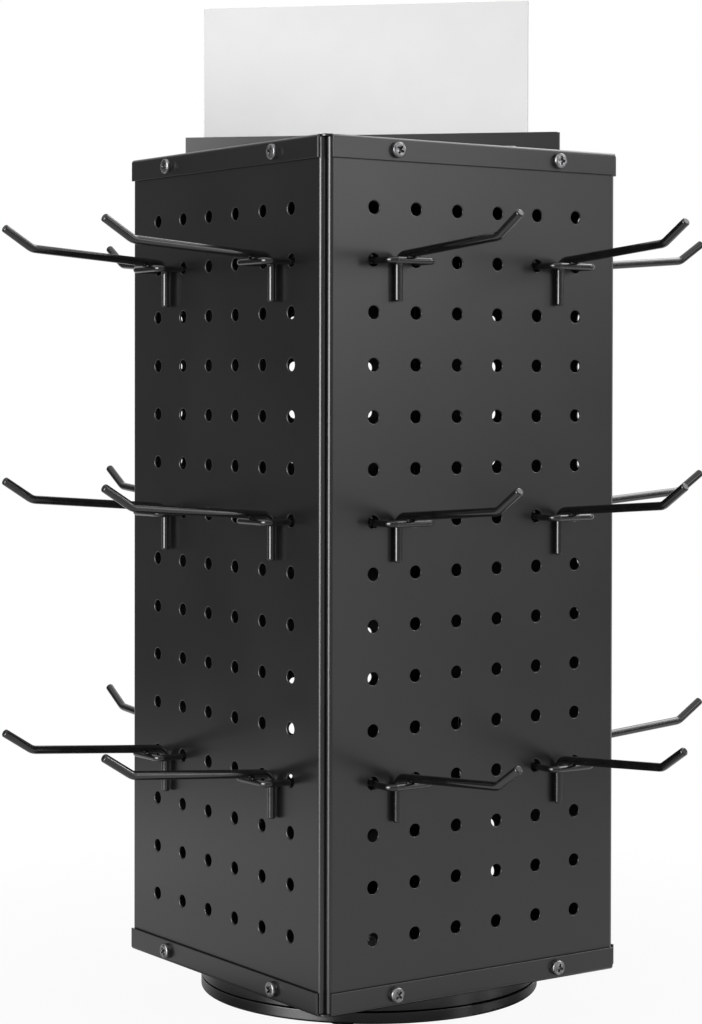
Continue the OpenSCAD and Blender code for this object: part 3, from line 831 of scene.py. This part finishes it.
def sign_angle(name, turned, material):
    """Angle on one side of the sign's slot, with one rounded upper corner and two screw holes in its foot."""
    fold = Fold((0, -1), -ANGLE_BEND_R, ANGLE_BEND_R)
    on_cap = 2 * ANGLE_BEND_R - fold.length
    half = ANGLE_L / 2
    outline = [Vector((-half, on_cap - ANGLE_FOOT)), Vector((half, on_cap - ANGLE_FOOT))]
    outline += arc(half - ANGLE_CORNER_R, ANGLE_H - ANGLE_CORNER_R, ANGLE_CORNER_R, 0, 90, CORNER_STEPS)
    outline.append(Vector((-half, ANGLE_H)))
    screws_at = on_cap - ANGLE_T - ANGLE_SCREW_Y
    holes = [round_hole(x, screws_at, SCREW_HOLE_R) for x in (-ANGLE_SCREW_X, ANGLE_SCREW_X)]
    outer_side_to_slot = Matrix(((1, 0, 0, 0), (0, -1, 0, -SLOT_HALF), (0, 0, 1, TOWER_TOP), (0, 0, 0, 1)))
    matrix = Matrix.Rotation(SLOT_TURN + turned, 4, "Z") @ outer_side_to_slot
    sheet_piece(name, matrix, outline, holes, [fold], ANGLE_T, SHEARED_LIPS, material)


def centreline(corners, radii):
    """(place, tangent) pairs along a wire whose straight runs are joined by round bends."""
    corners = [Vector(corner) for corner in corners]
    path = [(corners[0], (corners[1] - corners[0]).normalized())]
    for before, corner, after, radius in zip(corners, corners[1:], corners[2:], radii):
        into = (corner - before).normalized()
        out_of = (after - corner).normalized()
        turn = into.angle(out_of)
        start = corner - into * radius * math.tan(turn / 2)
        centre = start + (out_of - into * into.dot(out_of)).normalized() * radius
        steps = math.ceil(turn / BEND_STEP)
        for i in range(steps + 1):
            bend = Matrix.Rotation(turn * i / steps, 3, into.cross(out_of))
            path.append((centre + bend @ (start - centre), bend @ into))
    path.append((corners[-1], (corners[-1] - corners[-2]).normalized()))
    return path


def wire(skin, matrix, corners, radii, radius):
    """Round wire along a centreline, with eased edges round both cut ends."""
    path = centreline(corners, radii)
    side = path[0][1].orthogonal().normalized()
    stations = []
    for place, tangent in path:
        side = (side - tangent * side.dot(tangent)).normalized()
        stations.append((place, tangent, side))
    easing = [(0, 0, 1), (radius - WIRE_EDGE_R, 0, 1)]
    for i in range(1, EDGE_STEPS + 1):
        a = math.pi / 2 * i / EDGE_STEPS
        reach = radius - WIRE_EDGE_R * (1 - math.sin(a))
        easing.append((reach, WIRE_EDGE_R * (1 - math.cos(a)), math.cos(a)))
    rings = [wire_ring(stations[0], reach, along, -end) for reach, along, end in easing]
    rings += [wire_ring(station, radius, 0, 0) for station in stations[1:-1]]
    rings += [wire_ring(stations[-1], reach, -along, end) for reach, along, end in reversed(easing)]
    skin.tube([moved(matrix, ring) for ring in rings])


def wire_ring(station, reach, along, end):
    """Ring round a wire: its reach, its shift along the wire, and how far its normals lean to the cut end."""
    place, tangent, side = station
    across = tangent.cross(side)
    ring = []
    for i in range(WIRE_SIDES):
        a = 2 * math.pi * i / WIRE_SIDES
        outwards = side * math.cos(a) + across * math.sin(a)
        normal = outwards * math.sqrt(1 - end * end) + tangent * end
        ring.append((place + tangent * along + outwards * reach, normal))
    return ring


def weld_bead(skin, matrix, middle, size, rng):
    """Lumpy bead of weld metal, an uneven ellipsoid of the given half sizes."""
    phases = [rng.uniform(0, 2 * math.pi) for _ in range(3)]

    def surface(u, v):
        swell = 1 + BEAD_LUMPS[0] * math.sin(3 * u + phases[0]) * math.sin(2 * v + phases[1])
        swell += BEAD_LUMPS[1] * math.sin(5 * u + phases[2]) * math.sin(v)
        direction = Vector((math.cos(u) * math.sin(v), math.sin(u) * math.sin(v), math.cos(v)))
        return Vector([m + s * swell * d for m, s, d in zip(middle, size, direction)])

    rings = []
    for i in range(BEAD_RINGS + 1):
        v = math.pi * i / BEAD_RINGS
        ring = []
        for j in range(BEAD_SIDES):
            u = 2 * math.pi * j / BEAD_SIDES
            place = surface(u, v)
            if 0 < i < BEAD_RINGS:
                normal = (surface(u, v + BEAD_PROBE) - place).cross(surface(u + BEAD_PROBE, v) - place)
                if normal.dot(place - Vector(middle)) < 0:
                    normal.negate()
            else:
                normal = Vector((0, 0, math.cos(v)))
            ring.append((place, normal.normalized()))
        rings.append(ring)
    skin.tube([moved(matrix, ring) for ring in rings])


def hook_wires(joint, material):
    """One hook: a prong wire bent to a U with turned-up ends, and an arm welded across the top of it."""
    name = joint["child"]
    face = face_matrix(name.split("_")[1])
    pivot = face.inverted() @ Vector(joint["pos_m"])
    matrix = face @ Matrix.Translation((pivot.x, 0, pivot.z))
    half = PITCH / 2
    skin = Skin()
    wire(
        skin,
        matrix,
        [
            (-half, PRONG_IN, PRONG_RISE),
            (-half, PRONG_IN, 0),
            (-half, -CROSS_OUT, 0),
            (half, -CROSS_OUT, 0),
            (half, PRONG_IN, 0),
            (half, PRONG_IN, PRONG_RISE),
        ],
        (PRONG_BEND_R, CROSS_BEND_R, CROSS_BEND_R, PRONG_BEND_R),
        PRONG_R,
    )
    over = PRONG_R + ARM_R - WELD_DEPTH
    slope = math.tan(ARM_SLOPE)
    turn = Vector((0, -ARM_REACH, over + (ARM_REACH - CROSS_OUT) * slope))
    wire(
        skin,
        matrix,
        [
            (0, -STEM_OUT, PRONG_DROP - STEM_DROP),
            (0, -STEM_OUT, over + (STEM_OUT - CROSS_OUT) * slope),
            turn,
            turn + TIP_L * Vector((0, -math.cos(TIP_ANGLE), math.sin(TIP_ANGLE))),
        ],
        (STEM_BEND_R, TIP_BEND_R),
        ARM_R,
    )
    rng = random.Random(name)
    for side in (-1, 1):
        along = -CROSS_OUT + rng.uniform(-BEAD_WANDER, BEAD_WANDER)
        size = [half_size * rng.uniform(*varies) for half_size, varies in zip(BEAD_HALF, BEAD_VARIES)]
        weld_bead(skin, matrix, (side * ARM_R * BEAD_BESIDE, along, PRONG_R * BEAD_OVER), size, rng)
    hook = skin.build("wire_" + name, material)
    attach(hook, name)
    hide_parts(name)


def soften(node_object, width):
    """Rounds the sharp edges of a CAD node by modifiers, without touching its mesh."""
    weld = node_object.modifiers.new("weld", "WELD")
    weld.merge_threshold = MERGE_WITHIN
    bevel = node_object.modifiers.new("bevel", "BEVEL")
    bevel.width = width
    bevel.segments = BEVEL_SEGMENTS
    bevel.limit_method = "ANGLE"
    bevel.angle_limit = SHARP_ANGLE
    bevel.use_clamp_overlap = True
    bevel.harden_normals = True
    node_object.data.shade_smooth()


def dress_nodes():
    """Gives every CAD node that stays its material, and softened edges unless the CAD has rounded them.

    Each slot has its material and the width of its softened edges in metres.
    """
    finishes = {
        "plastic_disc": (moulded_plastic(), 0),
        "rubber_feet": (rubber(), 0.0004),
        "bearing_steel": (bearing_steel(), 0.0001),
        "nylon": (nylon(), 0.0001),
        "screw_nickel": (screw_nickel(), 0.00012),
        "sign_plastic": (sign_plastic(), 0.0002),
    }
    for part in frame["record"]["subparts"]:
        name, slot = part["node"], part["material_slot"]
        if slot in finishes:
            material, width = finishes[slot]
            paint(NODES[name], material)
            if width:
                soften(NODES[name], width)


make_camera()
make_floor()
make_world()
make_lights()
dress_nodes()
SHEET = coated_sheet()
for face_name in FACES:
    perforated_face(face_name, SHEET)
bottom_cap(SHEET)
top_cap(SHEET)
sign_angle("sign_angle_front", 0, SHEET)
sign_angle("sign_angle_back", math.pi, SHEET)
WIRE = coated_wire()
for hinge in frame["joints"]:
    if hinge["name"].startswith("hook_tilt_"):
        hook_wires(hinge, WIRE)

SCENE = bpy.context.scene
SCENE.view_settings.view_transform = "Standard"
